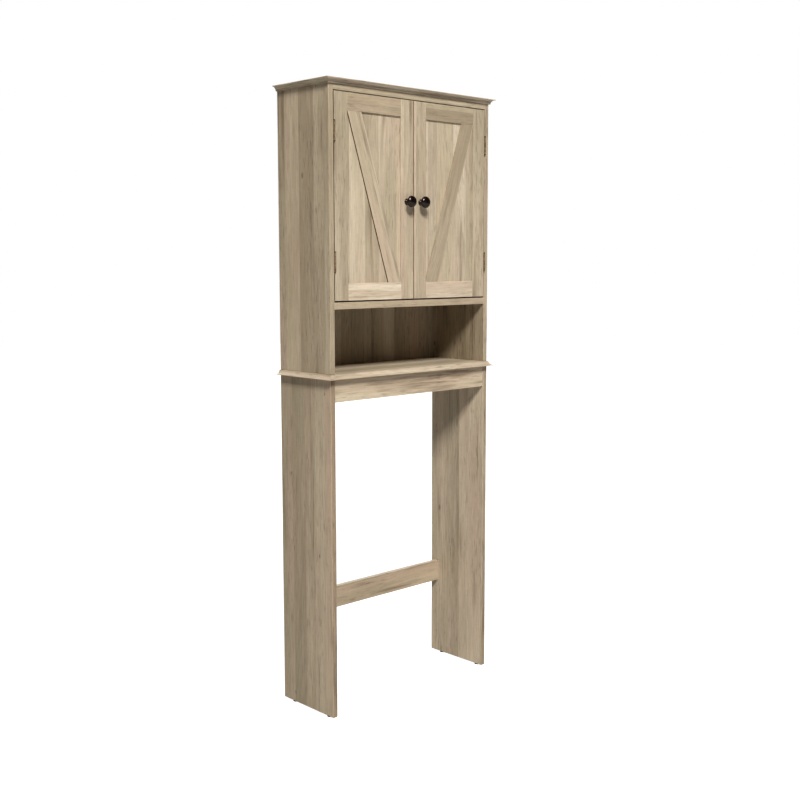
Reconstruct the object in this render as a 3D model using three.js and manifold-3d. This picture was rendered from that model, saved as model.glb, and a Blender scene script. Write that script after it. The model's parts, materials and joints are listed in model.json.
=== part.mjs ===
// A free-standing storage cabinet for the space over a toilet: a two-door cupboard above an
// open cubby, carried on two tall leg panels that are tied by an apron and a low rear stretcher.
//
// Units are millimetres. +Z is up, the front faces -Y, and y = 0 is the plane of the back edges
// while the parts are built. The finished group is then shifted along Y, so that its origin is
// the middle of the bottom of the whole object's bounding box.

import * as THREE from 'three';
import { mergeVertices } from 'three/addons/utils/BufferGeometryUtils.js';
import Module from 'manifold-3d';

const wasm = await Module();
wasm.setup();

// ---- Overall size -------------------------------------------------------------------------
const WIDTH = 628.65;
const DEPTH = 228.6;
const HEIGHT = 1682.75;

// ---- Boards -------------------------------------------------------------------------------
const BOARD = 15;
const SHELF_BOARD = 18;
const GAP = 0.2;
const CUT_PAST = 1;
const OVERHANG = 15.5;

const CARCASS_X = WIDTH / 2 - OVERHANG;
const INNER_X = CARCASS_X - BOARD;
const FRONT = -(DEPTH - OVERHANG);

// ---- Crown and waist mouldings ------------------------------------------------------------
const CROWN_HEIGHT = 13.5;
const WAIST_BOTTOM = 915.9;
const WAIST_HEIGHT = 12.9;
const MOULDING_LIP = 1.8;
const MOULDING_FOOT = 4;
const MOULDING_BACKING = 12;
const COVE_STEPS = 8;

const CROWN_BOTTOM = HEIGHT - CROWN_HEIGHT;
const WAIST_TOP = WAIST_BOTTOM + WAIST_HEIGHT;

// ---- Legs, apron and stretcher ------------------------------------------------------------
const LEG_X = CARCASS_X - BOARD / 2;
const FOOT_HEIGHT = 4;
const FOOT_RADIUS = 7;
const FOOT_SEGMENTS = 20;
const FOOT_ROWS = [-188, -40];
const NAIL_RADIUS = 1.1;
const NAIL_LENGTH = 12;
const NAIL_POINT = 2;
const APRON_BOTTOM = 855;
const APRON_RECESS = 1.5;
const STRETCHER_BOTTOM = 233.5;
const STRETCHER_HEIGHT = 62;
const STRETCHER_FRONT = -31;

// ---- Back panel ---------------------------------------------------------------------------
const BACK_INSET = 5;
const BACK_THICKNESS = 3;
const BACK_GROOVE = 5;
const BACK_FRONT = -(BACK_INSET + BACK_THICKNESS);

// ---- Shelves ------------------------------------------------------------------------------
const FIXED_SHELF_BOTTOM = 1097.4;
const FIXED_SHELF_TOP = FIXED_SHELF_BOTTOM + SHELF_BOARD;
const TOP_PANEL_BOTTOM = CROWN_BOTTOM - GAP - BOARD;
const LOOSE_SHELF_FRONT = -188;
const LOOSE_SHELF_END_CLEARANCE = 1;
const PIN_ROWS = [-165, -45];
const PIN_PITCH = 32;
const PIN_LEVEL_IN_USE = 1385;
const PIN_LEVELS = [
  PIN_LEVEL_IN_USE - PIN_PITCH,
  PIN_LEVEL_IN_USE,
  PIN_LEVEL_IN_USE + PIN_PITCH,
];
const PIN_RADIUS = 2.4;
const PIN_HOLE_RADIUS = 2.6;
const PIN_HOLE_DEPTH = 9;
const PIN_REACH = 8;
const PIN_COLLAR_RADIUS = 4;
const PIN_COLLAR_THICKNESS = 1.2;
const PIN_SEGMENTS = 16;
const LOOSE_SHELF_BOTTOM = PIN_LEVEL_IN_USE + PIN_RADIUS + GAP;

// ---- Doors --------------------------------------------------------------------------------
const DOOR_SIDE_GAP = 2.4;
const DOOR_MIDDLE_GAP = 2.4;
const DOOR_TOP_GAP = 2.4;
const DOOR_BOTTOM_GAP = 4;
const FRAME_MEMBER = 45.5;
const PANEL_RECESS = 4.5;
const PANEL_THICKNESS = 6;
const PANEL_TONGUE = 5.5;
const GROOVE_CLEARANCE = 0.3;
const BRACE_WIDTH = 45;

const DOOR_OUTER_X = INNER_X - DOOR_SIDE_GAP;
const DOOR_INNER_X = DOOR_MIDDLE_GAP / 2;
const DOOR_TOP = TOP_PANEL_BOTTOM - DOOR_TOP_GAP;
const DOOR_BOTTOM = FIXED_SHELF_TOP + DOOR_BOTTOM_GAP;
const DOOR_BACK = FRONT + BOARD;
const OPENING_OUTER_X = DOOR_OUTER_X - FRAME_MEMBER;
const OPENING_INNER_X = DOOR_INNER_X + FRAME_MEMBER;
const OPENING_TOP = DOOR_TOP - FRAME_MEMBER;
const OPENING_BOTTOM = DOOR_BOTTOM + FRAME_MEMBER;

// ---- Knobs --------------------------------------------------------------------------------
const KNOB_X = 26;
const KNOB_Z = 1381.5;
const KNOB_REACH = 29;
const KNOB_HEAD_RADIUS = 15.9;
const KNOB_BASE_RADIUS = 9;
const KNOB_NECK_RADIUS = 4.6;
const KNOB_BORE_RADIUS = 2.3;
const KNOB_BORE_DEPTH = 14;
const KNOB_SEGMENTS = 28;
const SCREW_RADIUS = 1.9;
const SCREW_HEAD_RADIUS = 4;
const SCREW_HEAD_HEIGHT = 2.4;
const SCREW_TIP = 11;
const SCREW_SEGMENTS = 16;
const SCREW_HOLE_RADIUS = 2.5;

// ---- Butt hinges --------------------------------------------------------------------------
const HINGE_FROM_DOOR_END = 100;
const HINGE_HEIGHT = 50;
const KNUCKLES = 5;
const KNUCKLE_RADIUS = 2.5;
const KNUCKLE_BORE = 1.45;
const KNUCKLE_SEGMENTS = 16;
const KNUCKLE_PLAY = 0.3;
const HINGE_PIN_RADIUS = 1.2;
const HINGE_CAP_RADIUS = 2.4;
const HINGE_CAP_HEIGHT = 2.2;
const LEAF_THICKNESS = 0.8;
const LEAF_DEPTH = 11.5;
const LEAF_CLEARANCE = 0.2;
const HINGE_X = INNER_X - DOOR_SIDE_GAP / 2;
const HINGE_Y = FRONT - KNUCKLE_RADIUS - KNUCKLE_PLAY;

// ---- Magnetic catch -----------------------------------------------------------------------
const CATCH_HALF_WIDTH = 30;
const CATCH_DEPTH = 16;
const CATCH_HEIGHT = 13;
const STRIKE_THICKNESS = 1.2;
const STRIKE_X = [8, 26];
const STRIKE_HEIGHT = 11;

const LEFT = -1;
const RIGHT = 1;
const SIDES = [
  { word: 'left', side: LEFT },
  { word: 'right', side: RIGHT },
];

// ---- Geometry helpers ---------------------------------------------------------------------

function boxGeometry([xa, xb], [ya, yb], [za, zb]) {
  const geometry = new THREE.BoxGeometry(Math.abs(xb - xa), Math.abs(yb - ya), Math.abs(zb - za));
  geometry.translate((xa + xb) / 2, (ya + yb) / 2, (za + zb) / 2);
  return geometry;
}

// A cylinder from point a to point b.
function rodGeometry(radius, a, b, segments = 16) {
  const start = new THREE.Vector3(...a);
  const end = new THREE.Vector3(...b);
  const along = end.clone().sub(start);
  const geometry = new THREE.CylinderGeometry(radius, radius, along.length(), segments);
  const turn = new THREE.Quaternion();
  turn.setFromUnitVectors(new THREE.Vector3(0, 1, 0), along.clone().normalize());
  geometry.applyQuaternion(turn);
  geometry.translate(...start.add(end).multiplyScalar(0.5).toArray());
  return geometry;
}

// A turned piece: profile points are [radius, distance along the axis], and the axis runs from
// the origin point in the given direction.
function turnedGeometry(profile, origin, direction, segments) {
  const points = profile.map(([radius, along]) => new THREE.Vector2(radius, along));
  const geometry = new THREE.LatheGeometry(points, segments);
  const turn = new THREE.Quaternion();
  turn.setFromUnitVectors(new THREE.Vector3(0, 1, 0), new THREE.Vector3(...direction));
  geometry.applyQuaternion(turn);
  geometry.translate(...origin);
  return geometry;
}

function toManifold(geometry) {
  const plain = geometry.clone();
  plain.deleteAttribute('normal');
  plain.deleteAttribute('uv');
  const welded = mergeVertices(plain, 1e-4);
  return new wasm.Manifold(new wasm.Mesh({
    numProp: 3,
    vertProperties: new Float32Array(welded.attributes.position.array),
    triVerts: new Uint32Array(welded.index.array),
  }));
}

function fromManifold(solid) {
  const mesh = solid.getMesh();
  const geometry = new THREE.BufferGeometry();
  geometry.setAttribute('position', new THREE.BufferAttribute(mesh.vertProperties, 3));
  geometry.setIndex(new THREE.BufferAttribute(mesh.triVerts, 1));
  geometry.computeVertexNormals();
  return geometry;
}

// Adds and then removes material from a starting geometry.
function carve(geometry, { add = [], remove = [] }) {
  let solid = toManifold(geometry);
  for (const piece of add) {
    solid = solid.add(toManifold(piece));
  }
  for (const tool of remove) {
    solid = solid.subtract(toManifold(tool));
  }
  return fromManifold(solid);
}

// A closed prism whose section is a list of [u, v] points and whose two ends may slope with u.
// place(along, u, v) gives a point in space. Triangles are turned so that they face outward.
function prismGeometry(section, startAt, endAt, place) {
  const outline = section.map(([u, v]) => new THREE.Vector2(u, v));
  const caps = THREE.ShapeUtils.triangulateShape(outline, []);
  const count = section.length;
  const points = [
    ...section.map(([u, v]) => place(startAt(u), u, v)),
    ...section.map(([u, v]) => place(endAt(u), u, v)),
  ];
  const triangles = [];
  for (let i = 0; i < count; i += 1) {
    const next = (i + 1) % count;
    triangles.push([i, next, next + count]);
    triangles.push([i, next + count, i + count]);
  }
  for (const [a, b, c] of caps) {
    triangles.push([a, c, b]);
    triangles.push([a + count, b + count, c + count]);
  }
  const volume = triangles.reduce(
    (sum, [a, b, c]) => sum + points[a].dot(points[b].clone().cross(points[c])),
    0,
  );
  const facing = volume > 0 ? triangles : triangles.map(([a, b, c]) => [a, c, b]);
  const geometry = new THREE.BufferGeometry();
  geometry.setFromPoints(points);
  geometry.setIndex(facing.flat());
  geometry.computeVertexNormals();
  return geometry;
}

// ---- Materials ----------------------------------------------------------------------------

const FINISHES = {
  oak: { color: 0xb8a684, roughness: 0.62, metalness: 0 },
  moulding: { color: 0xa8987a, roughness: 0.6, metalness: 0 },
  hardboard: { color: 0x8c7a60, roughness: 0.75, metalness: 0 },
  bronze: { color: 0x2c1f1a, roughness: 0.35, metalness: 0.8 },
  steel: { color: 0xa9abad, roughness: 0.35, metalness: 1 },
  blackPlastic: { color: 0x18181a, roughness: 0.6, metalness: 0 },
  whitePlastic: { color: 0xd8d5cc, roughness: 0.55, metalness: 0 },
};

const cabinet = new THREE.Group();

function addPart(name, finish, geometry) {
  const mesh = new THREE.Mesh(geometry, new THREE.MeshStandardMaterial(FINISHES[finish]));
  mesh.name = name;
  cabinet.add(mesh);
}

// ---- Crown and waist ----------------------------------------------------------------------

// The cove section: u runs outward from the carcass face and v up from the wide lip.
// The hollow curve is a quarter circle between the thin lip and the narrow foot.
function coveSection(height) {
  const lipEdge = [OVERHANG, MOULDING_LIP];
  const rise = height - MOULDING_LIP;
  const run = OVERHANG - MOULDING_FOOT;
  const points = [[-MOULDING_BACKING, 0], [OVERHANG, 0], lipEdge];
  for (let step = 1; step <= COVE_STEPS; step += 1) {
    const angle = (step / COVE_STEPS) * Math.PI / 2;
    points.push([OVERHANG - run * Math.sin(angle), MOULDING_LIP + rise * (1 - Math.cos(angle))]);
  }
  points.push([-MOULDING_BACKING, height]);
  return points;
}

// Three mitred strips around a core board. lipZ is the height of the wide lip, and direction is
// +1 where the section grows upward from it and -1 where it hangs below it.
function addMouldedBoard(prefix, height, lipZ, direction) {
  const section = coveSection(height);
  const level = (v) => lipZ + direction * v;
  const mitre = GAP * 0.75;
  const edges = [level(0), level(height)];
  const bottom = Math.min(...edges);
  const top = Math.max(...edges);
  const coreX = CARCASS_X - MOULDING_BACKING - GAP;
  const coreFront = FRONT + MOULDING_BACKING + GAP;
  addPart(`${prefix}_board`, 'oak', boxGeometry([-coreX, coreX], [coreFront, 0], [bottom, top]));

  addPart(`${prefix}_moulding_front`, 'moulding', prismGeometry(
    section,
    (u) => -(CARCASS_X + u - mitre),
    (u) => CARCASS_X + u - mitre,
    (along, u, v) => new THREE.Vector3(along, FRONT - u, level(v)),
  ));
  for (const { word, side } of SIDES) {
    addPart(`${prefix}_moulding_${word}`, 'moulding', prismGeometry(
      section,
      () => 0,
      (u) => FRONT - u + mitre,
      (along, u, v) => new THREE.Vector3(side * (CARCASS_X + u), along, level(v)),
    ));
  }
}

// ---- Upper box ----------------------------------------------------------------------------

function shelfPinHoles(side) {
  const holes = [];
  for (const y of PIN_ROWS) {
    for (const z of PIN_LEVELS) {
      const mouth = [side * (INNER_X - CUT_PAST), y, z];
      const end = [side * (INNER_X + PIN_HOLE_DEPTH), y, z];
      holes.push(rodGeometry(PIN_HOLE_RADIUS, mouth, end));
    }
  }
  return holes;
}

function addUpperSide(word, side) {
  const bottom = WAIST_TOP + GAP;
  const top = CROWN_BOTTOM - GAP;
  const board = boxGeometry([side * INNER_X, side * CARCASS_X], [FRONT, 0], [bottom, top]);
  const groove = boxGeometry(
    [side * (INNER_X - CUT_PAST), side * (INNER_X + BACK_GROOVE)],
    [BACK_FRONT - GAP, -BACK_INSET + GAP],
    [bottom - CUT_PAST, top + CUT_PAST],
  );
  addPart(`upper_side_${word}`, 'oak', carve(board, { remove: [groove, ...shelfPinHoles(side)] }));
}

function addUpperBox() {
  for (const { word, side } of SIDES) {
    addUpperSide(word, side);
  }
  const across = [-(INNER_X - GAP), INNER_X - GAP];
  const shelfDepth = [FRONT, BACK_FRONT - GAP];
  const topPanel = [TOP_PANEL_BOTTOM, CROWN_BOTTOM - GAP];
  addPart('top_panel', 'oak', boxGeometry(across, shelfDepth, topPanel));
  const fixedShelf = [FIXED_SHELF_BOTTOM, FIXED_SHELF_TOP];
  addPart('fixed_shelf', 'oak', boxGeometry(across, shelfDepth, fixedShelf));

  const backX = INNER_X + BACK_GROOVE - GROOVE_CLEARANCE;
  addPart('back_panel', 'hardboard', boxGeometry(
    [-backX, backX],
    [BACK_FRONT, -BACK_INSET],
    [WAIST_TOP + GAP, CROWN_BOTTOM - GAP],
  ));
}

// ---- Loose shelf and its pins -------------------------------------------------------------

function addLooseShelf() {
  const endX = INNER_X - LOOSE_SHELF_END_CLEARANCE - PIN_COLLAR_THICKNESS;
  addPart('adjustable_shelf', 'oak', boxGeometry(
    [-endX, endX],
    [LOOSE_SHELF_FRONT, BACK_FRONT - 1],
    [LOOSE_SHELF_BOTTOM, LOOSE_SHELF_BOTTOM + BOARD],
  ));
}

function addShelfPins() {
  const collarFace = PIN_COLLAR_THICKNESS + GAP;
  const profile = [
    [0, -(PIN_HOLE_DEPTH - 1)],
    [PIN_RADIUS, -(PIN_HOLE_DEPTH - 1)],
    [PIN_RADIUS, GAP],
    [PIN_COLLAR_RADIUS, GAP],
    [PIN_COLLAR_RADIUS, collarFace],
    [PIN_RADIUS, collarFace],
    [PIN_RADIUS, PIN_REACH],
    [0, PIN_REACH],
  ];
  const rowWords = ['front', 'rear'];
  for (const { word, side } of SIDES) {
    PIN_ROWS.forEach((y, row) => {
      const origin = [side * INNER_X, y, PIN_LEVEL_IN_USE];
      const geometry = turnedGeometry(profile, origin, [-side, 0, 0], PIN_SEGMENTS);
      addPart(`shelf_pin_${rowWords[row]}_${word}`, 'steel', geometry);
    });
  }
}

// ---- Legs ---------------------------------------------------------------------------------

function addLegs() {
  for (const { word, side } of SIDES) {
    const board = boxGeometry(
      [side * INNER_X, side * CARCASS_X],
      [FRONT, 0],
      [FOOT_HEIGHT + GAP, WAIST_BOTTOM - GAP],
    );
    const nailTop = FOOT_HEIGHT + NAIL_LENGTH + GROOVE_CLEARANCE;
    const nailHoles = FOOT_ROWS.map((y) => rodGeometry(
      NAIL_RADIUS + GROOVE_CLEARANCE,
      [side * LEG_X, y, 0],
      [side * LEG_X, y, nailTop],
    ));
    addPart(`leg_${word}`, 'oak', carve(board, { remove: nailHoles }));
  }
  const across = [-(INNER_X - GAP), INNER_X - GAP];
  const apronFront = FRONT + APRON_RECESS;
  addPart('apron', 'oak', boxGeometry(
    across,
    [apronFront, apronFront + BOARD],
    [APRON_BOTTOM, WAIST_BOTTOM - GAP],
  ));
  addPart('rear_stretcher', 'oak', boxGeometry(
    across,
    [STRETCHER_FRONT, STRETCHER_FRONT + BOARD],
    [STRETCHER_BOTTOM, STRETCHER_BOTTOM + STRETCHER_HEIGHT],
  ));
}

function addFootGlides() {
  const profile = [
    [0, 0],
    [FOOT_RADIUS - 1, 0],
    [FOOT_RADIUS, 1],
    [FOOT_RADIUS - 0.4, FOOT_HEIGHT],
    [NAIL_RADIUS, FOOT_HEIGHT],
    [NAIL_RADIUS, FOOT_HEIGHT + NAIL_LENGTH - NAIL_POINT],
    [0, FOOT_HEIGHT + NAIL_LENGTH],
  ];
  const rowWords = ['front', 'rear'];
  for (const { word, side } of SIDES) {
    FOOT_ROWS.forEach((y, row) => {
      const geometry = turnedGeometry(profile, [side * LEG_X, y, 0], [0, 0, 1], FOOT_SEGMENTS);
      addPart(`foot_glide_${rowWords[row]}_${word}`, 'blackPlastic', geometry);
    });
  }
}

// ---- Doors --------------------------------------------------------------------------------

function addDoor(word, side) {
  const thickness = [FRONT, DOOR_BACK];
  const panelY = [FRONT + PANEL_RECESS, FRONT + PANEL_RECESS + PANEL_THICKNESS];
  const grooveY = [panelY[0] - GAP, panelY[1] + GAP];
  const tongue = PANEL_TONGUE + GROOVE_CLEARANCE;
  const grooveZ = [OPENING_BOTTOM - tongue, OPENING_TOP + tongue];
  const doorZ = [DOOR_BOTTOM, DOOR_TOP];

  const hingeStile = boxGeometry([side * OPENING_OUTER_X, side * DOOR_OUTER_X], thickness, doorZ);
  const hingeGrooveX = [side * (OPENING_OUTER_X - CUT_PAST), side * (OPENING_OUTER_X + tongue)];
  addPart(`door_${word}_hinge_stile`, 'oak', carve(hingeStile, {
    remove: [boxGeometry(hingeGrooveX, grooveY, grooveZ)],
  }));

  const meetingStile = boxGeometry([side * DOOR_INNER_X, side * OPENING_INNER_X], thickness, doorZ);
  const meetingGrooveX = [side * (OPENING_INNER_X - tongue), side * (OPENING_INNER_X + CUT_PAST)];
  const knobHole = rodGeometry(
    SCREW_HOLE_RADIUS,
    [side * KNOB_X, FRONT - CUT_PAST, KNOB_Z],
    [side * KNOB_X, DOOR_BACK + CUT_PAST, KNOB_Z],
  );
  addPart(`door_${word}_meeting_stile`, 'oak', carve(meetingStile, {
    remove: [boxGeometry(meetingGrooveX, grooveY, grooveZ), knobHole],
  }));

  const railX = [side * (OPENING_INNER_X + GAP), side * (OPENING_OUTER_X - GAP)];
  const railGrooveX = [side * OPENING_INNER_X, side * OPENING_OUTER_X];
  const topRail = boxGeometry(railX, thickness, [OPENING_TOP, DOOR_TOP]);
  addPart(`door_${word}_top_rail`, 'oak', carve(topRail, {
    remove: [boxGeometry(railGrooveX, grooveY, [OPENING_TOP - CUT_PAST, OPENING_TOP + tongue])],
  }));
  const bottomRail = boxGeometry(railX, thickness, [DOOR_BOTTOM, OPENING_BOTTOM]);
  addPart(`door_${word}_bottom_rail`, 'oak', carve(bottomRail, {
    remove: [
      boxGeometry(railGrooveX, grooveY, [OPENING_BOTTOM - tongue, OPENING_BOTTOM + CUT_PAST]),
    ],
  }));

  addPart(`door_${word}_centre_panel`, 'oak', boxGeometry(
    [side * (OPENING_INNER_X - PANEL_TONGUE), side * (OPENING_OUTER_X + PANEL_TONGUE)],
    panelY,
    [OPENING_BOTTOM - PANEL_TONGUE, OPENING_TOP + PANEL_TONGUE],
  ));
  addPart(`door_${word}_brace`, 'oak', braceGeometry(side));
}

// The brace runs from the top corner at the hinges to the bottom corner at the knob. Its ends
// are cut level, so its width along a rail follows from its square width and its slope.
function braceGeometry(side) {
  const outer = OPENING_OUTER_X - GAP;
  const inner = OPENING_INNER_X + GAP;
  const top = OPENING_TOP - GAP;
  const bottom = OPENING_BOTTOM + GAP;
  const run = outer - inner;
  const rise = top - bottom;
  const w2 = BRACE_WIDTH ** 2;
  const root = Math.sqrt((w2 * run) ** 2 + (rise ** 2 - w2) * w2 * (rise ** 2 + run ** 2));
  const levelWidth = (root - w2 * run) / (rise ** 2 - w2);
  const section = [
    [outer, top],
    [outer - levelWidth, top],
    [inner, bottom],
    [inner + levelWidth, bottom],
  ];
  return prismGeometry(
    section,
    () => FRONT,
    () => FRONT + PANEL_RECESS - GAP,
    (along, u, v) => new THREE.Vector3(side * u, along, v),
  );
}

// ---- Knobs --------------------------------------------------------------------------------

function addKnob(word, side) {
  const head = KNOB_HEAD_RADIUS;
  const profile = [
    [0, KNOB_BORE_DEPTH],
    [KNOB_BORE_RADIUS, KNOB_BORE_DEPTH],
    [KNOB_BORE_RADIUS, GAP],
    [KNOB_BASE_RADIUS, GAP],
    [KNOB_BASE_RADIUS, 1.6],
    [KNOB_BASE_RADIUS - 1.4, 3],
    [KNOB_NECK_RADIUS + 0.6, 4.4],
    [KNOB_NECK_RADIUS, 8],
    [KNOB_NECK_RADIUS + 1.2, 12],
    [head * 0.72, 15.6],
    [head * 0.95, 18],
    [head, 20.2],
    [head * 0.96, 22.4],
    [head * 0.82, 25.2],
    [head * 0.56, 27.6],
    [head * 0.28, 28.7],
    [0, KNOB_REACH],
  ];
  const origin = [side * KNOB_X, FRONT, KNOB_Z];
  const geometry = turnedGeometry(profile, origin, [0, -1, 0], KNOB_SEGMENTS);
  addPart(`knob_${word}`, 'bronze', geometry);
}

function addKnobScrew(word, side) {
  const shank = BOARD + SCREW_TIP;
  const profile = [
    [0, -SCREW_HEAD_HEIGHT - GAP],
    [SCREW_HEAD_RADIUS * 0.75, -SCREW_HEAD_HEIGHT - GAP],
    [SCREW_HEAD_RADIUS, -SCREW_HEAD_HEIGHT * 0.55],
    [SCREW_HEAD_RADIUS, -GAP],
    [SCREW_RADIUS, -GAP],
    [SCREW_RADIUS, shank],
    [0, shank + 1],
  ];
  const origin = [side * KNOB_X, DOOR_BACK, KNOB_Z];
  const geometry = turnedGeometry(profile, origin, [0, -1, 0], SCREW_SEGMENTS);
  addPart(`knob_screw_${word}`, 'steel', geometry);
}

// ---- Butt hinges --------------------------------------------------------------------------

// The knuckles alternate between the leaves, the outer ones and the middle one on the frame.
function knuckleSpan(index, bottom) {
  const pitch = HINGE_HEIGHT / KNUCKLES;
  const low = bottom + index * pitch + (index > 0 ? KNUCKLE_PLAY / 2 : 0);
  const high = bottom + (index + 1) * pitch - (index < KNUCKLES - 1 ? KNUCKLE_PLAY / 2 : 0);
  return [low, high];
}

// towardDoor is +1 for the leaf on the door's edge and -1 for the leaf on the cabinet side.
function hingeLeafGeometry(side, bottom, towardDoor) {
  const inward = -side * towardDoor;
  const nearX = side * HINGE_X + inward * LEAF_CLEARANCE;
  const farX = nearX + inward * LEAF_THICKNESS;
  const plateY = [FRONT + GAP, FRONT + LEAF_DEPTH];
  const plate = boxGeometry([nearX, farX], plateY, [bottom, bottom + HINGE_HEIGHT]);
  const knuckles = [];
  for (let index = 0; index < KNUCKLES; index += 1) {
    const onFrame = index % 2 === 0;
    if (onFrame === (towardDoor < 0)) {
      const [low, high] = knuckleSpan(index, bottom);
      const axisPoint = (z) => [side * HINGE_X, HINGE_Y, z];
      knuckles.push(rodGeometry(KNUCKLE_RADIUS, axisPoint(low), axisPoint(high), KNUCKLE_SEGMENTS));
      knuckles.push(boxGeometry([nearX, farX], [HINGE_Y, FRONT + CUT_PAST], [low, high]));
    }
  }
  const bore = rodGeometry(
    KNUCKLE_BORE,
    [side * HINGE_X, HINGE_Y, bottom - CUT_PAST],
    [side * HINGE_X, HINGE_Y, bottom + HINGE_HEIGHT + CUT_PAST],
    KNUCKLE_SEGMENTS,
  );
  return carve(plate, { add: knuckles, remove: [bore] });
}

function hingePinGeometry(side, bottom) {
  const top = HINGE_HEIGHT + GAP;
  const profile = [
    [0, -GAP - HINGE_CAP_HEIGHT],
    [HINGE_CAP_RADIUS * 0.6, -GAP - HINGE_CAP_HEIGHT * 0.8],
    [HINGE_CAP_RADIUS, -GAP - HINGE_CAP_HEIGHT * 0.3],
    [HINGE_CAP_RADIUS, -GAP],
    [HINGE_PIN_RADIUS, -GAP],
    [HINGE_PIN_RADIUS, top],
    [HINGE_CAP_RADIUS, top],
    [HINGE_CAP_RADIUS, top + HINGE_CAP_HEIGHT * 0.3],
    [HINGE_CAP_RADIUS * 0.6, top + HINGE_CAP_HEIGHT * 0.8],
    [0, top + HINGE_CAP_HEIGHT],
  ];
  return turnedGeometry(profile, [side * HINGE_X, HINGE_Y, bottom], [0, 0, 1], KNUCKLE_SEGMENTS);
}

function addHinges(word, side) {
  const half = HINGE_HEIGHT / 2;
  const levels = {
    upper: DOOR_TOP - HINGE_FROM_DOOR_END - half,
    lower: DOOR_BOTTOM + HINGE_FROM_DOOR_END - half,
  };
  for (const [level, bottom] of Object.entries(levels)) {
    addPart(`hinge_${level}_${word}_frame_leaf`, 'bronze', hingeLeafGeometry(side, bottom, -1));
    addPart(`hinge_${level}_${word}_door_leaf`, 'bronze', hingeLeafGeometry(side, bottom, 1));
    addPart(`hinge_${level}_${word}_pin`, 'bronze', hingePinGeometry(side, bottom));
  }
}

// ---- Magnetic catch -----------------------------------------------------------------------

function addCatch() {
  const strikeY = DOOR_BACK + GAP;
  const catchFront = strikeY + STRIKE_THICKNESS + GAP;
  const catchTop = TOP_PANEL_BOTTOM - GAP;
  addPart('magnetic_catch', 'whitePlastic', boxGeometry(
    [-CATCH_HALF_WIDTH, CATCH_HALF_WIDTH],
    [catchFront, catchFront + CATCH_DEPTH],
    [catchTop - CATCH_HEIGHT, catchTop],
  ));
  const strikeTop = DOOR_TOP - 1;
  for (const { word, side } of SIDES) {
    addPart(`strike_plate_${word}`, 'steel', boxGeometry(
      [side * STRIKE_X[0], side * STRIKE_X[1]],
      [strikeY, strikeY + STRIKE_THICKNESS],
      [strikeTop - STRIKE_HEIGHT, strikeTop],
    ));
  }
}

// ---- The whole cabinet --------------------------------------------------------------------

addMouldedBoard('crown', CROWN_HEIGHT, HEIGHT, -1);
addMouldedBoard('waist', WAIST_HEIGHT, WAIST_BOTTOM, 1);
addUpperBox();
addLooseShelf();
addShelfPins();
addLegs();
addFootGlides();
for (const { word, side } of SIDES) {
  addDoor(word, side);
  addKnob(word, side);
  addKnobScrew(word, side);
  addHinges(word, side);
}
addCatch();

cabinet.position.y = (KNOB_REACH - FRONT) / 2;

export default cabinet;
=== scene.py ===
"""The looks of a free-standing over-toilet cabinet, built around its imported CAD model.

Units are metres in the model's own frame: +Z is up, the front faces -Y and the floor is z = 0.
Boards and mouldings carry a vector attribute called grain, whose X runs along the grain, so one
oak material serves pieces that lie in any direction.
"""

import json
import math
import random

import bmesh
import bpy
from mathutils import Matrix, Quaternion, Vector


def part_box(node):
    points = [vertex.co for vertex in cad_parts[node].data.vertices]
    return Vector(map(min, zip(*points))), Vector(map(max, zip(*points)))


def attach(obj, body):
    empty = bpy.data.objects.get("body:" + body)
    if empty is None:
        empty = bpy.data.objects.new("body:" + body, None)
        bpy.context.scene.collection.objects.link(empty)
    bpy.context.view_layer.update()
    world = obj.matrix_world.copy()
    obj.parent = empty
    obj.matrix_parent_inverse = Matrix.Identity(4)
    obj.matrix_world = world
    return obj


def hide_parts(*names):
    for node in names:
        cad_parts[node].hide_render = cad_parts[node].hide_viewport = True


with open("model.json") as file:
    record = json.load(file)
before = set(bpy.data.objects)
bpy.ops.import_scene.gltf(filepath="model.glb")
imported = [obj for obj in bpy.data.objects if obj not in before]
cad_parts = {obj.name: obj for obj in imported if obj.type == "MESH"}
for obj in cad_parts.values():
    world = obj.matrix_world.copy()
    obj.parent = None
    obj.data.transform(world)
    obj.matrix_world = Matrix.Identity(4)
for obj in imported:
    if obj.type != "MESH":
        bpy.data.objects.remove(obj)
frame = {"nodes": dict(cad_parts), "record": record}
scene = bpy.context.scene
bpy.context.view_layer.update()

MM = 0.001
X_AXIS = Vector((1, 0, 0))
Y_AXIS = Vector((0, 1, 0))
Z_AXIS = Vector((0, 0, 1))
SIDES = {"left": -1, "right": 1}
BODY_OF_NODE = {
    node: body
    for body, nodes in frame["record"]["behaviour"]["bodies"].items()
    for node in nodes
}

# ---- Driving dimensions ----

WELD = 0.01 * MM
BOARD_EDGE_RADIUS = 0.8 * MM
DOOR_EDGE_RADIUS = 0.35 * MM
EDGE_STEPS = 3

MOULDING_LIP = 1.8 * MM
MOULDING_FOOT = 4 * MM
MOULDING_BACKING = 12 * MM
MOULDING_MITRE_GAP = 0.15 * MM
COVE_STEPS = 28
LIP_ROUND = 0.5 * MM
LIP_ROUND_STEPS = 4

KNOB_SEGMENTS = 72
PIN_SEGMENTS = 40
SCREW_SEGMENTS = 32
NAIL_SEGMENTS = 24

KNOB_FOOT_RADIUS = 9 * MM
KNOB_NECK_RADIUS = 4.6 * MM
KNOB_SCREW_DOME = 2.2 * MM
BRACE_LEVEL_WIDTH = 47 * MM

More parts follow.
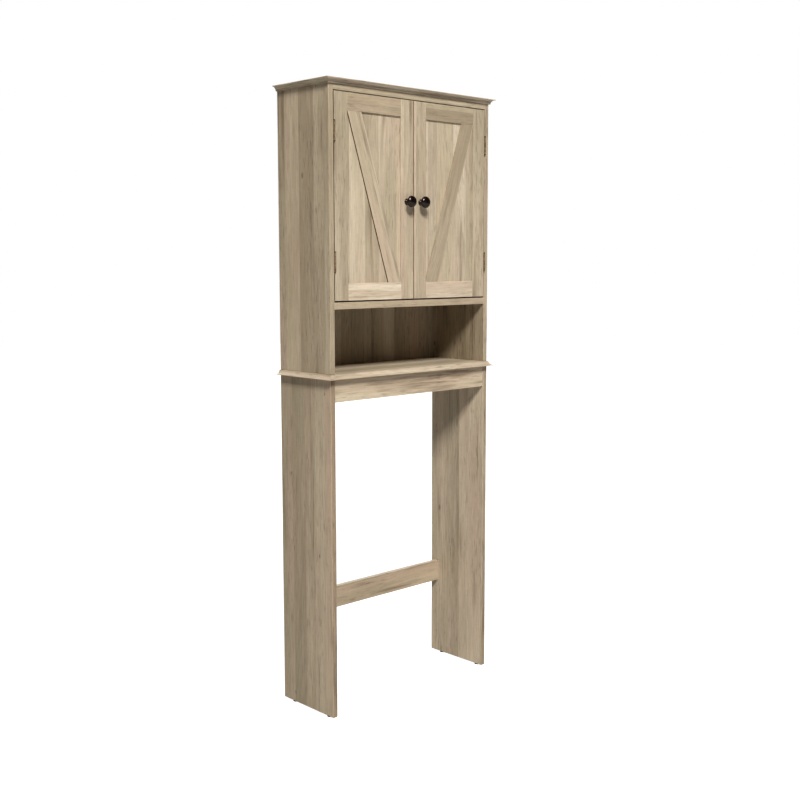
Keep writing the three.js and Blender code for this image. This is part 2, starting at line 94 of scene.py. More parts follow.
HINGE_KNUCKLES = 5
KNUCKLE_RADIUS = 2.5 * MM
KNUCKLE_BORE = 1.45 * MM
KNUCKLE_PLAY = 0.3 * MM
LEAF_THICKNESS = 0.8 * MM
LEAF_CORNER = 2.5 * MM
LEAF_CLEARANCE = 0.2 * MM
HINGE_SCREW_RADIUS = 2.2 * MM
HINGE_SCREW_DEPTH = 6.4 * MM
HINGE_SCREW_SPACING = 17 * MM
HINGE_SCREW_LENGTH = 11 * MM
HINGE_PIN_RADIUS = 1.2 * MM
HINGE_CAP_HEIGHT = 2.2 * MM

CATCH_MAGNET_X = 17 * MM
CATCH_MAGNET_SIZE = (14 * MM, 5.2 * MM)
CATCH_POLE_SIZE = (16 * MM, 1.2 * MM)
CATCH_SCREW_X = 24 * MM
CATCH_SCREW_DOME = 1.1 * MM
STRIKE_CORNER = 1.5 * MM
STRIKE_SCREW_RADIUS = 2.4 * MM
SHELF_PIN_RADIUS = 2.4 * MM
SHELF_PIN_HIDDEN = 8 * MM
GLIDE_HEIGHT = 4 * MM
GLIDE_NAIL_RADIUS = 1.1 * MM

CAM_COVER_RADIUS = 9 * MM
CAM_COVER_THICKNESS = 0.5 * MM
CAM_COVER_DEPTH = 1.5 * MM
CAM_COVER_FROM_END = 32 * MM
CAM_COVER_ROW_SHARE = 0.32
BACK_NAILS = 5
BACK_NAIL_FROM_END = 40 * MM

# ---- Camera and light ----

VIEW_AZIMUTH = math.radians(-43.282)
VIEW_ELEVATION = math.radians(6.389)
VIEW_ROLL = math.radians(-0.079)
VIEW_DISTANCE = 3.3932
VIEW_TARGET = Vector((0.1483, 0.1210, 0.8431))
VIEW_SHIFT_UP = -0.015
LENS = 50.824
SENSOR_WIDTH = 36

KEY_DIRECTION = Vector((-0.42, -0.66, 0.70))
KEY_AIM = Vector((0, 0, 1.2))
KEY_DISTANCE = 16.0
KEY_STRENGTH = 4.8
KEY_ANGLE = math.radians(14)
FILL_DIRECTION = Vector((0.55, 0.72, 0.45))
FILL_STRENGTH = 2.0
FILL_ANGLE = math.radians(45)
AMBIENT = 0.04
BACKDROP_WHITE = 1.0
FLOOR_GLOW = 0.95
FLOOR_RADIUS = 14


# ---- Mesh helpers ----


def axes_for(direction):
    """Two unit vectors square to a direction and to each other."""
    direction = Vector(direction).normalized()
    helper = X_AXIS if abs(direction.x) < 0.9 else Y_AXIS
    first = direction.cross(helper).normalized()
    return first, direction.cross(first)


def box_of(node):
    """The node's low corner, high corner and middle."""
    low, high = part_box(node)
    return low, high, (low + high) / 2


def bounds_of(points):
    """The low and the high corner of some points."""
    return [Vector([end(p[i] for p in points) for i in range(3)]) for end in (min, max)]


def add_box(bm, low, high, radius=0.0, steps=2, material=0):
    """A box with rounded edges."""
    low, high = Vector(low), Vector(high)
    made = bmesh.ops.create_cube(bm, size=1)["verts"]
    for vertex in made:
        vertex.co = Vector([
            low[i] + (vertex.co[i] + 0.5) * (high[i] - low[i]) for i in range(3)
        ])
        for face in vertex.link_faces:
            face.material_index = material
    if radius:
        edges = {edge for vertex in made for edge in vertex.link_edges}
        bmesh.ops.bevel(
            bm, geom=list(edges), offset=radius, segments=steps, profile=0.5, affect="EDGES",
            material=material,
        )


def finish_faces(bm, faces, material):
    """Gives new faces their material and turns them outward."""
    for face in faces:
        face.material_index = material
    bmesh.ops.recalc_face_normals(bm, faces=faces)


def join_rings(bm, lower, upper):
    """Faces between two rings of points. A ring may be a single point."""
    faces = []
    for k in range(max(len(lower), len(upper))):
        start = (lower[k % len(lower)], upper[k % len(upper)])
        end = (upper[(k + 1) % len(upper)], lower[(k + 1) % len(lower)])
        corners = list(dict.fromkeys(start + end))
        if len(corners) > 2:
            faces.append(bm.faces.new(corners))
    return faces


def add_turned(bm, profile, origin, axis, segments, material=0):
    """A lathe: the profile's points are (radius, distance along the axis)."""
    origin = Vector(origin)
    axis = Vector(axis).normalized()
    first, second = axes_for(axis)
    rings = []
    for radius, along in profile:
        base = origin + axis * along
        if radius < WELD:
            rings.append([bm.verts.new(base)])
            continue
        ring = []
        for k in range(segments):
            angle = math.tau * k / segments
            ring.append(bm.verts.new(base + radius * (
                math.cos(angle) * first + math.sin(angle) * second)))
        rings.append(ring)
    faces = []
    for lower, upper in zip(rings, rings[1:]):
        faces += join_rings(bm, lower, upper)
    finish_faces(bm, faces, material)


def smooth_profile(points, steps):
    """A Catmull-Rom curve through the profile's points."""
    padded = [points[0], *points, points[-1]]
    result = [points[0]]
    for a, b, c, d in zip(padded, padded[1:], padded[2:], padded[3:]):
        for k in range(1, steps + 1):
            t = k / steps
            result.append(tuple(
                0.5 * (2 * b[i] + (c[i] - a[i]) * t
                       + (2 * a[i] - 5 * b[i] + 4 * c[i] - d[i]) * t ** 2
                       + (3 * b[i] - a[i] - 3 * c[i] + d[i]) * t ** 3)
                for i in range(2)))
    return result


def arc_points(centre, radius, start, end, steps):
    """Points on an arc; start and end are in degrees."""
    points = []
    for k in range(steps + 1):
        angle = math.radians(start + (end - start) * k / steps)
        points.append((centre[0] + radius * math.cos(angle), centre[1] + radius * math.sin(angle)))
    return points


def rounded_rectangle(width, height, radius, steps=6):
    """An outline around the origin."""
    points = []
    corners = [(1, 1, 0), (-1, 1, 90), (-1, -1, 180), (1, -1, 270)]
    for sx, sy, start in corners:
        centre = (sx * (width / 2 - radius), sy * (height / 2 - radius))
        points.extend(arc_points(centre, radius, start, start + 90, steps))
    return points


def cross_outline(reach, width):
    """The outline of a cross-shaped recess."""
    w = width / 2
    return [
        (reach, -w), (reach, w), (w, w), (w, reach), (-w, reach), (-w, w),
        (-reach, w), (-reach, -w), (-w, -w), (-w, -reach), (w, -reach), (w, -w),
    ]


def add_plate(bm, outline, holes, origin, across, up, thickness, material=0):
    """A flat plate with holes. Its face lies at origin, spanned by across and up, and its
    thickness runs against across x up."""
    origin, across, up = Vector(origin), Vector(across), Vector(up)
    down = -across.cross(up).normalized() * thickness
    loops = []
    for loop in [outline, *holes]:
        top = [bm.verts.new(origin + across * u + up * v) for u, v in loop]
        bottom = [bm.verts.new(vertex.co + down) for vertex in top]
        loops.append((top, bottom))
    faces = []
    for layer in (0, 1):
        edges = []
        for pair in loops:
            ring = pair[layer]
            for k, vertex in enumerate(ring):
                edges.append(bm.edges.new((vertex, ring[(k + 1) % len(ring)])))
        filled = bmesh.ops.triangle_fill(bm, use_beauty=True, use_dissolve=False, edges=edges)
        faces.extend(f for f in filled["geom"] if isinstance(f, bmesh.types.BMFace))
    for top, bottom in loops:
        faces += join_rings(bm, top, bottom)
    finish_faces(bm, faces, material)


def add_screw(bm, centre, axis, head_radius, shank_length, dome=0.0, material=0):
    """A cross-head screw whose head face is at centre and whose axis points out of the face.
    With no dome the head is countersunk, otherwise it stands dome high."""
    centre, axis = Vector(centre), Vector(axis).normalized()
    first, second = axes_for(axis)
    shank = head_radius * 0.5
    recess_reach = head_radius * 0.62
    recess_width = head_radius * 0.26
    recess_depth = head_radius * 0.35
    rim = arc_points((0, 0), head_radius * 0.8, 0, 360 - 360 / SCREW_SEGMENTS, SCREW_SEGMENTS - 1)
    face_at = centre + axis * dome
    add_plate(bm, rim, [cross_outline(recess_reach, recess_width)], face_at, first, second,
              recess_depth, material)
    add_plate(bm, cross_outline(recess_reach * 1.02, recess_width * 1.02), [],
              face_at - axis * recess_depth * 0.9, first, second, 0.1 * MM, material)
    foot = -(head_radius - shank) if not dome else 0.0
    profile = [(head_radius * 0.8 - 0.01 * MM, dome - 0.02 * MM)]
    profile += [(head_radius * 0.94, dome * 0.8 - 0.04 * MM), (head_radius, dome * 0.3 - 0.08 * MM)]
    profile += [(head_radius, -0.12 * MM), (shank, foot - 0.12 * MM)]
    profile += [(shank * 0.9, -shank_length * 0.85), (0, -shank_length)]
    add_turned(bm, [(0, dome - recess_depth), *profile], centre, axis, SCREW_SEGMENTS, material)


# ---- Pieces ----


def new_object(name, bm, materials, smooth_angle=None):
    """Moves bm into a new mesh object. Edges sharper than smooth_angle stay crisp."""
    mesh = bpy.data.meshes.new(name)
    bm.to_mesh(mesh)
    bm.free()
    for material in materials:
        mesh.materials.append(material)
    if smooth_angle is not None:
        mesh.shade_smooth()
        mesh.set_sharp_from_angle(angle=math.radians(smooth_angle))
    made = bpy.data.objects.new(name, mesh)
    scene.collection.objects.link(made)
    return made


def settle(piece, slot, *nodes, body=None):
    """The piece stands for the CAD nodes, which it hides, and rides on their body. slot is not used.
    """
    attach(piece, body or BODY_OF_NODE[nodes[0]])
    if nodes:
        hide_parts(*nodes)
    return piece


def fitting(node, bm, materials, slot, smooth_angle=35, worn=False):
    """The visual piece for a metal or plastic node. worn marks its ridges as rubbed."""
    piece = new_object(f"{node}_look", bm, materials, smooth_angle)
    if worn:
        set_wear(piece.data)
    settle(piece, slot, node)


def set_grain(mesh, along, across, key, tone=1.0, blush=0.5, knots=0.0):
    """Stores each point's place in the board's own grain frame, with a shift of its own for each
    key, its place from the board's middle, and the board's half size and tone."""
    along = Vector(along).normalized()
    across = Vector(across)
    across = (across - across.dot(along) * along).normalized()
    through = along.cross(across)
    draw = random.Random(key)
    shift = Vector([draw.uniform(0, 5) for _ in range(3)])
    places = [Vector((v.co.dot(along), v.co.dot(across), v.co.dot(through))) for v in mesh.vertices]
    low, high = bounds_of(places)
    middle = (low + high) / 2
    rows = {
        "grain": [p - middle + shift for p in places],
        "place": [p - middle for p in places],
        "half": [(high - low) / 2] * len(places),
        "tone": [Vector((tone, blush, knots))] * len(places),
    }
    for name, values in rows.items():
        attribute = mesh.attributes.new(name, "FLOAT_VECTOR", "POINT")
        attribute.data.foreach_set("vector", [x for value in values for x in value])


def set_wear(mesh):
    """Stores how far each point stands out as a ridge, from 0 to 1, for rubbed metal edges."""
    bm = bmesh.new()
    bm.from_mesh(mesh)
    values = []
    for vertex in bm.verts:
        angles = [
            edge.calc_face_angle_signed(0.0) for edge in vertex.link_edges if len(edge.link_faces) == 2
        ]
        ridge = max(angles, default=0.0)
        values.append(min(1.0, max(0.0, ridge / math.radians(60))))
    bm.free()
    attribute = mesh.attributes.new("wear", "FLOAT", "POINT")
    attribute.data.foreach_set("value", values)


def clean_copy(node):
    """The CAD node's shape with its triangles merged into whole flat faces."""
    bm = bmesh.new()
    bm.from_mesh(frame["nodes"][node].data)
    bmesh.ops.remove_doubles(bm, verts=bm.verts, dist=WELD)
    bmesh.ops.dissolve_limit(bm, angle_limit=math.radians(1), verts=bm.verts, edges=bm.edges)
    bm.normal_update()
    return bm


def is_outer(face, low, high):
    """True where the face lies on the board's bounding box."""
    centre = face.calc_center_median()
    return any(
        abs(face.normal[i]) > 0.99 and min(abs(centre[i] - low[i]), abs(centre[i] - high[i])) < WELD
        for i in range(3)
    )


def round_edges(bm, low, high, radius, steps=EDGE_STEPS, every_edge=False):
    """Rounds the board's outer edges and shades the rounding smoothly."""
    chosen = []
    for edge in bm.edges:
        if len(edge.link_faces) != 2 or edge.calc_face_angle_signed(0.0) < math.radians(30):
            continue
        if every_edge or all(is_outer(face, low, high) for face in edge.link_faces):
            chosen.append(edge)
    made = bmesh.ops.bevel(
        bm, geom=chosen, offset=radius, segments=steps, profile=0.5, affect="EDGES",
        clamp_overlap=True,
    )
    for face in made["faces"]:
        face.smooth = True


def board(node, materials, slot, along, across, tone=1.0, blush=0.5, knots=0.0,
          radius=BOARD_EDGE_RADIUS, every_edge=False, pick=None, pattern=""):
    """A board with the CAD node's shape, softened edges and grain of its own. pick gives each
    face's place in the list of materials, and pattern chooses another piece of the print."""
    low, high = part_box(node)
    bm = clean_copy(node)
    if pick:
        for face in bm.faces:
            face.material_index = pick(face)
    round_edges(bm, low, high, radius, every_edge=every_edge)
    piece = new_object(f"{node}_look", bm, materials)
    set_grain(piece.data, along, across, f"{node} {pattern}".strip(), tone, blush, knots)
    return settle(piece, slot, node)


# ---- Material helpers ----


def rgb(red, green, blue):
    """A linear colour from screen values of 0 to 255."""
    linear = []
    for value in (red, green, blue):
        share = value / 255
        linear.append(share / 12.92 if share <= 0.04045 else ((share + 0.055) / 1.055) ** 2.4)
    return (*linear, 1.0)


class Graph:
    """One material, and short calls that add nodes to it."""

    def __init__(self, name):
        self.material = bpy.data.materials.new(name)
        self.material.use_nodes = True
        self.tree = self.material.node_tree
        self.shader = self.tree.nodes["Principled BSDF"]

    def feed(self, socket, value):
        if isinstance(value, bpy.types.NodeSocket):
            self.tree.links.new(value, socket)
        else:
            socket.default_value = value

    def add(self, kind, sockets=None, **settings):
        """A new node. sockets says what feeds its inputs, by name or number."""
        node = self.tree.nodes.new(kind)
        for name, value in settings.items():
            setattr(node, name, value)
        for key, value in (sockets or {}).items():
            self.feed(node.inputs[key], value)
        return node

    def math(self, operation, *values):
        return self.add("ShaderNodeMath", dict(enumerate(values)), operation=operation).outputs[0]

    def times(self, first, second):
        return self.math("MULTIPLY", first, second)

    def times_plus(self, first, second, base):
        """first times second, plus base."""
        return self.math("MULTIPLY_ADD", first, second, base)

    def vector(self, operation, first, second=(0, 0, 0)):
        sockets = {0: first, 1: second}
        return self.add("ShaderNodeVectorMath", sockets, operation=operation).outputs[0]

    def attribute(self, name, output="Vector"):
        return self.add("ShaderNodeAttribute", attribute_name=name).outputs[output]

    def place(self):
        """The point's place in the piece's own frame, which moves with the piece."""
        return self.add("ShaderNodeTexCoord").outputs["Object"]

    def split(self, vector):
        return self.add("ShaderNodeSeparateXYZ", {0: vector}).outputs

    def join(self, x, y, z):
        return self.add("ShaderNodeCombineXYZ", {0: x, 1: y, 2: z}).outputs[0]

    def noise(self, vector, stretch, detail=2, roughness=0.5):
        """Smooth noise from 0 to 1, with its own number of waves a metre along each axis."""
        place = self.vector("MULTIPLY", vector, stretch)
        sockets = {"Vector": place, "Scale": 1.0, "Detail": detail, "Roughness": roughness}
        return self.add("ShaderNodeTexNoise", sockets).outputs[0]

    def cells(self, vector, stretch):
        """Patches around scattered points, as the node's outputs, stretched as noise is."""
        sockets = {"Vector": self.vector("MULTIPLY", vector, stretch), "Scale": 1.0}
        return self.add("ShaderNodeTexVoronoi", sockets, voronoi_dimensions="2D").outputs

    def fit(self, value, low, high, to_low=0.0, to_high=1.0, smooth=True):
        """Rescales a value, held within the new ends."""
        sockets = dict(enumerate((value, low, high, to_low, to_high)))
        curve = "SMOOTHSTEP" if smooth else "LINEAR"
        return self.add("ShaderNodeMapRange", sockets, interpolation_type=curve).outputs[0]

    def mix(self, share, first, second):
        sockets = {0: share, 6: first, 7: second}
        return self.add("ShaderNodeMix", sockets, data_type="RGBA").outputs[2]

    def scaled(self, colour, factor):
        """The colour times one factor."""
        return self.vector("MULTIPLY", colour, self.join(factor, factor, factor))

    def bump(self, height, distance, strength=1.0):
        sockets = {"Strength": strength, "Distance": distance, "Height": height}
        return self.add("ShaderNodeBump", sockets).outputs[0]

    def shade(self, **values):
        """Feeds the shader's sockets by name, with _ for a space."""
        for name, value in values.items():
            self.feed(self.shader.inputs[name.replace("_", " ")], value)
        return self.material


# ---- Oak print ----

CREAM = rgb(183, 167, 142)
SAND = rgb(159, 142, 117)
PINK = rgb(173, 151, 129)
OLIVE = rgb(154, 142, 115)
UMBER = rgb(118, 101, 80)
KNOT = rgb(88, 70, 54)


def edge_closeness(g, reach):
    """From 1 on a board's edges to 0 at reach away from them."""
    place = g.split(g.vector("ABSOLUTE", g.attribute("place")))
    half = g.split(g.attribute("half"))
    gaps = [g.math("SUBTRACT", half[i], place[i]) for i in range(3)]
    smaller = g.math("MINIMUM", gaps[0], gaps[1])
    larger = g.math("MAXIMUM", gaps[0], gaps[1])
    second = g.math("MAXIMUM", smaller, g.math("MINIMUM", larger, gaps[2]))
    return g.fit(second, 0.0, reach, 1.0, 0.0)


def growth_rings(g, grain, sway):
    """Cathedral figure: rings about a line that lies at a changing depth below the board."""
    across, through = g.split(g.attribute("place"))[1:3]
    moved = g.split(grain)
    drift = g.noise(g.join(moved[0], 0.0, moved[2]), (1.4, 1.0, 1.0), detail=1)
    depth = g.fit(drift, 0.3, 0.7, -0.02, 0.09, smooth=False)
    side = g.times_plus(sway, 0.03, across)
    low = g.math("ADD", through, depth)
    square = g.math("ADD", g.times(side, side), g.times(low, low))
    reach = g.math("SQRT", square)
    wobble = g.noise(grain, (6.0, 60.0, 60.0))
    turns = g.times_plus(wobble, 5.0, g.times(reach, math.tau / (9 * MM)))
    wave = g.times_plus(g.math("SINE", turns), 0.5, 0.5)
    return g.math("POWER", wave, 2.0)


def plank_strips(g, grain, rate):
    """Straight strips side by side, as if the foil showed narrow planks: three random numbers
    for each strip. rate is their number a metre."""
    axes = g.split(grain)
    across = g.times_plus(axes[2], 0.6, axes[1])
    sockets = {"W": across, "Scale": rate, "Randomness": 0.75}
    cells = g.add("ShaderNodeTexVoronoi", sockets, voronoi_dimensions="1D")
    return g.split(cells.outputs["Color"])


def knot_mask(g, grain):
    """A few small knots on the wide faces: from 1 in a knot to 0 around it."""
    cells = g.cells(grain, (4.6, 8.5, 1.0))
    draws = g.split(cells["Color"])
    chosen = g.math("GREATER_THAN", draws[0], 0.7)
    size = g.fit(draws[1], 0, 1, 0.016, 0.04, smooth=False)
    inside = g.math("DIVIDE", cells["Distance"], size)
    across = g.math("ABSOLUTE", g.split(g.attribute("place"))[1])
    from_edge = g.math("SUBTRACT", g.split(g.attribute("half"))[1], across)
    wide = g.fit(from_edge, 1.5 * MM, 4 * MM)
    return g.times(g.times(chosen, wide), g.fit(inside, 0.4, 1.8, 1.0, 0.0))


def oak_tints(g, warped, strips, blush):
    """The foil's soft colours: sand and cream bands, with pink and olive patches over them."""
    patches = g.split(g.cells(warped, (3.4, 36.0, 1.0))["Color"])
    soft = g.noise(warped, (1.6, 15, 15))
    level = g.times_plus(strips[0], 0.42, g.times(soft, 0.75))
    level = g.times_plus(patches[0], 0.2, level)
    bands = g.fit(level, 0.42, 0.95)
    pinkness = g.noise(g.vector("ADD", warped, (1.7, 2.3, 0.9)), (1.4, 13, 13), detail=1)
    pinkness = g.times_plus(strips[1], 0.22, pinkness)
    pinkness = g.times_plus(blush, 0.24, pinkness)
    oliveness = g.noise(g.vector("ADD", warped, (3.1, 0.7, 2.9)), (1.8, 16, 16), detail=1)
    oliveness = g.times_plus(strips[2], 0.2, oliveness)
    colour = g.mix(bands, SAND, CREAM)
    colour = g.mix(g.fit(pinkness, 0.62, 0.92, 0.0, 0.7), colour, PINK)
    return g.mix(g.fit(oliveness, 0.56, 0.82, 0.0, 0.6), colour, OLIVE)


def oak_shade(g, grain, warped, sway, fibre_marks, figure):
    """A factor around 1 from fibres, short dashes, rings and a painted highlight along the edges.
    fibre_marks are pairs of a mark and its strength."""
    fibres = g.noise(grain, (50, 620, 620), roughness=0.6)
    ticks = g.noise(grain, (200, 60, 60))
    dash_zone = g.fit(g.noise(warped, (3.0, 18, 18)), 0.40, 0.60, 0.25, 1.0)
    dashes = g.fit(g.noise(warped, (26, 250, 250), detail=1, roughness=0.6), 0.56, 0.70)
    dashes = g.times(dashes, dash_zone)
    rings = growth_rings(g, grain, sway)
    ring_patch = g.fit(g.noise(grain, (1.1, 7, 7), detail=1), 0.4, 0.62)
    # Painted highlight: up to 8 % lighter within 2.4 mm of the board's edges, broken up by noise.
    edge_highlight_noise = g.fit(g.noise(g.attribute("grain"), (60, 160, 160)), 0.35, 0.65)
    edge = g.times(edge_closeness(g, 2.4 * MM), edge_highlight_noise)

    shade = 1.0
    for mark, strength in [*fibre_marks, (fibres, 0.24), (ticks, 0.1)]:
        shade = g.times_plus(g.math("SUBTRACT", mark, 0.5), strength, shade)
    shade = g.times_plus(dashes, -0.3 * figure, shade)
    shade = g.times_plus(rings, g.times(ring_patch, -0.09 * figure), shade)
    return g.times_plus(edge, 0.08, shade)


def oak(name, shadow=1.0, figure=1.0, planks=1.0):
    """Weathered oak foil: plank strips, patches along the grain, fibres, smears and knots.
    shadow dims and warms it, figure scales its dark marks and planks its strips."""
    g = Graph(name)
    whole = g.attribute("grain")
    tone, blush, knottiness = g.split(g.attribute("tone"))
    strips = plank_strips(g, whole, 19)
    grain = g.vector("ADD", whole, g.join(g.times(strips[0], 7.0), 0.0, strips[2]))
    sway = g.math("SUBTRACT", g.noise(grain, (2.2, 9.0, 9.0)), 0.5)
    fray = g.math("SUBTRACT", g.noise(grain, (30, 300, 300)), 0.5)
    bend = g.times_plus(fray, 3 * MM, g.times(sway, 12 * MM))
    warped = g.vector("ADD", grain, g.join(0.0, bend, 0.0))

    streaks = g.noise(warped, (4.2, 105, 105), detail=3, roughness=0.65)
    threads = g.noise(warped, (14, 240, 240), roughness=0.6)
    smears = g.fit(g.noise(warped, (3.0, 26, 26)), 0.54, 0.70)
    smear = g.times(smears, g.fit(streaks, 0.62, 0.38, 0.1, 0.8))
    knots = g.times(knot_mask(g, whole), knottiness)

    colour = oak_tints(g, warped, strips, blush)
    colour = g.mix(g.times(smear, figure), colour, UMBER)
    colour = g.mix(knots, colour, KNOT)
    fibre_marks = [(strips[1], 0.24 * planks), (streaks, 0.3 * figure), (threads, 0.5)]
    shade = oak_shade(g, grain, warped, sway, fibre_marks, figure)
    dimmed = (shadow, shadow ** 1.08, shadow ** 1.22)
    colour = g.vector("MULTIPLY", g.scaled(colour, shade), dimmed)
    greyer = g.join(tone, g.math("POWER", tone, 1.12), g.math("POWER", tone, 1.35))

    height = g.times_plus(streaks, 0.7, g.times(threads, 0.3))
    height = g.times_plus(knots, -0.5, height)
    return g.shade(
        Base_Color=g.vector("MULTIPLY", colour, greyer),
        Roughness=g.fit(streaks, 0.3, 0.7, 0.64, 0.52, smooth=False),
        Specular_IOR_Level=0.3 * shadow,
        Normal=g.bump(height, 0.2 * MM, 0.5),
    )


def hardboard(name):
    """Raw pressed board: brown felted fibres with a faint mesh print."""
    g = Graph(name)
    place = g.place()
    clouds = g.noise(place, (9, 9, 9), detail=3)
    fibres = g.noise(place, (260, 260, 70), detail=4, roughness=0.7)
    flecks = g.fit(g.noise(place, (420, 420, 160)), 0.6, 0.74)
    colour = g.mix(clouds, rgb(146, 118, 88), rgb(172, 142, 109))
    colour = g.mix(g.times(flecks, 0.5), colour, rgb(106, 83, 61))
    colour = g.scaled(colour, g.fit(fibres, 0.25, 0.75, 0.86, 1.12))
    mesh_lines = g.times(*[
        g.math("SINE", g.times(g.split(place)[i], math.tau / (1.6 * MM))) for i in (0, 2)
    ])
    height = g.times_plus(mesh_lines, 0.25, fibres)
    return g.shade(
        Base_Color=colour,
        Roughness=g.fit(fibres, 0.3, 0.7, 0.9, 0.72),
        Specular_IOR_Level=0.25,
        Normal=g.bump(height, 0.3 * MM, 0.6),
    )


# ---- Metal and plastic ----


def bronze(name, dark, rubbed, roughness, metallic=0.85):
    """Brown-skinned metal, rubbed bright along its ridges."""
    g = Graph(name)
    place = g.place()
    clouds = g.noise(place, (160, 160, 160), detail=3)
    grain = g.noise(place, (1400, 1400, 1400))
    ridge = g.fit(g.attribute("wear", "Fac"), 0.12, 0.6)
    worn = g.times(ridge, g.fit(clouds, 0.4, 0.62, 0.1, 1.0))
    colour = g.mix(g.times(clouds, 0.3), dark, rubbed)
    colour = g.mix(worn, colour, rubbed)
    gloss = g.fit(grain, 0.3, 0.7, roughness - 0.05, roughness + 0.08, smooth=False)
    return g.shade(
        Base_Color=colour,
        Metallic=metallic,
        Roughness=gloss,
        Coat_Weight=0.35,
        Coat_Roughness=0.12,
        Normal=g.bump(g.math("ADD", clouds, g.times(grain, 0.3)), 0.12 * MM, 0.35),
    )


def zinc(name):
    """Zinc-plated steel with faint drawing lines and a bluish bloom."""
    g = Graph(name)
    place = g.place()
    bloom = g.noise(place, (210, 210, 210), detail=3)
    lines = g.noise(place, (90, 1500, 1500))
    colour = g.mix(bloom, rgb(168, 170, 172), rgb(205, 204, 198))
    colour = g.scaled(colour, g.fit(lines, 0.3, 0.7, 0.9, 1.06))
    return g.shade(
        Base_Color=colour,
        Metallic=0.6,
        Roughness=g.fit(g.math("ADD", bloom, lines), 0.7, 1.3, 0.26, 0.44),
        Normal=g.bump(lines, 0.05 * MM, 0.4),
    )


def plastic(name, base, second, roughness):
    """Moulded plastic with a fine spark-eroded skin and slight colour drift."""
    g = Graph(name)
    place = g.place()
    drift = g.noise(place, (70, 70, 70))
    skin = g.noise(place, (1900, 1900, 1900))
    return g.shade(
        Base_Color=g.mix(drift, base, second),
        Roughness=g.fit(skin, 0.3, 0.7, roughness - 0.08, roughness + 0.1),
        Specular_IOR_Level=0.45,
        Normal=g.bump(skin, 0.06 * MM, 0.5),
    )


def pale_floor(name):
    """A plain matt studio floor that the camera sees slightly lit from within."""
    g = Graph(name)
    drift = g.noise(g.place(), (0.8, 0.8, 0.8))
    path = g.add("ShaderNodeLightPath")
    return g.shade(
        Base_Color=g.mix(drift, (0.5, 0.5, 0.5, 1), (0.53, 0.53, 0.525, 1)),
        Roughness=0.9,
        Specular_IOR_Level=0.1,
        Emission_Color=(1, 1, 1, 1),
        Emission_Strength=g.times(path.outputs["Is Camera Ray"], FLOOR_GLOW),
    )


OAK_BOARD = oak("oak_board")
OAK_DOOR = oak("oak_door", figure=0.9)
# Painted shade: oak dimmed to a sixth for the door edges in the gaps and the braces' undersides.
DOOR_GAP_SHADE = oak("door_seam", shadow=0.16)
# Painted shade: oak dimmed for the legs' front edges, as if the light faded toward the floor.
OAK_LEG_EDGE_SHADE = oak("oak_leg_edge_painted_shade", shadow=0.72, figure=1.4, planks=0.2)
OAK_MOULDING = oak("oak_moulding", figure=1.1, planks=0.2)
# Painted shade: oak dimmed for the sides' inner faces and the back panel's front, as inside the
# cabinet.
OAK_INSIDE_SHADE = oak("oak_inside_painted_shade", shadow=0.76)
OAK_FRONT_EDGE = oak("oak_front_edge", shadow=0.9, planks=0.2)
HARDBOARD = hardboard("raw_hardboard")
BRONZE_KNOB = bronze("bronze_knob", rgb(24, 18, 16), rgb(84, 56, 42), 0.24)
BRASS_HINGE = bronze("brass_hinge", rgb(98, 80, 60), rgb(156, 133, 104), 0.38, 0.6)
ZINC = zinc("zinc_steel")
BLACK_PLASTIC = plastic("black_plastic", rgb(22, 22, 24), rgb(32, 31, 31), 0.55)
WHITE_PLASTIC = plastic("white_plastic", rgb(222, 219, 210), rgb(206, 201, 190), 0.5)


# ---- Carcass ----


# Brightness and pattern of each side board. The right leg is set brighter as painted light, for the
# stronger light on its inner face.
SIDE_LOOKS = {
    "left": {"upper_side": (0.93, "f"), "leg": (0.93, "h")},
    "right": {"upper_side": (0.9, ""), "leg": (1.08, "g")},
}
# The side that shows across the grain, brightness, blush and knots of each level board.
LEVEL_BOARD_LOOKS = {
    "top_panel": (Y_AXIS, 0.9, 0.3, 0.0),
    "fixed_shelf": (Y_AXIS, 1.06, 0.3, 0.0),
    "adjustable_shelf": (Y_AXIS, 0.98, 0.5, 0.0),
    "crown_board": (Y_AXIS, 0.98, 0.4, 0.0),
    "waist_board": (Y_AXIS, 1.07, 0.4, 0.0),
    "apron": (Z_AXIS, 1.0, 0.4, 0.5),
    "rear_stretcher": (Z_AXIS, 0.87, 0.65, 1.0),
}


def side_face_picker(side):
    """Tells a side board's outer face (0), inner face (1) and front edge (2) apart."""

    def pick(face):
        if face.normal.y < -0.5:
            return 2
        return 1 if face.normal.x * side < -0.5 else 0

    return pick


def build_carcass():
    """Sides, legs and every level board."""
    for word, side in SIDES.items():
        pick = side_face_picker(side)
        tone, pattern = SIDE_LOOKS[word]["upper_side"]
        # The upper sides' inner faces (1) take the oak with painted shade.
        board(f"upper_side_{word}", [OAK_BOARD, OAK_INSIDE_SHADE, OAK_FRONT_EDGE], "oak_board", Z_AXIS,
              Y_AXIS, tone, 0.35, 0.6, pick=pick, pattern=pattern)
        tone, pattern = SIDE_LOOKS[word]["leg"]
        # The legs' front edges (2) take the oak with painted shade.
        board(f"leg_{word}", [OAK_BOARD, OAK_BOARD, OAK_LEG_EDGE_SHADE], "oak_board", Z_AXIS, Y_AXIS,
              tone, 0.7, 0.6, pick=pick, pattern=pattern)
    for node, (across, tone, blush, knots) in LEVEL_BOARD_LOOKS.items():
        board(node, [OAK_BOARD], "oak_board", X_AXIS, across, tone, blush, knots)


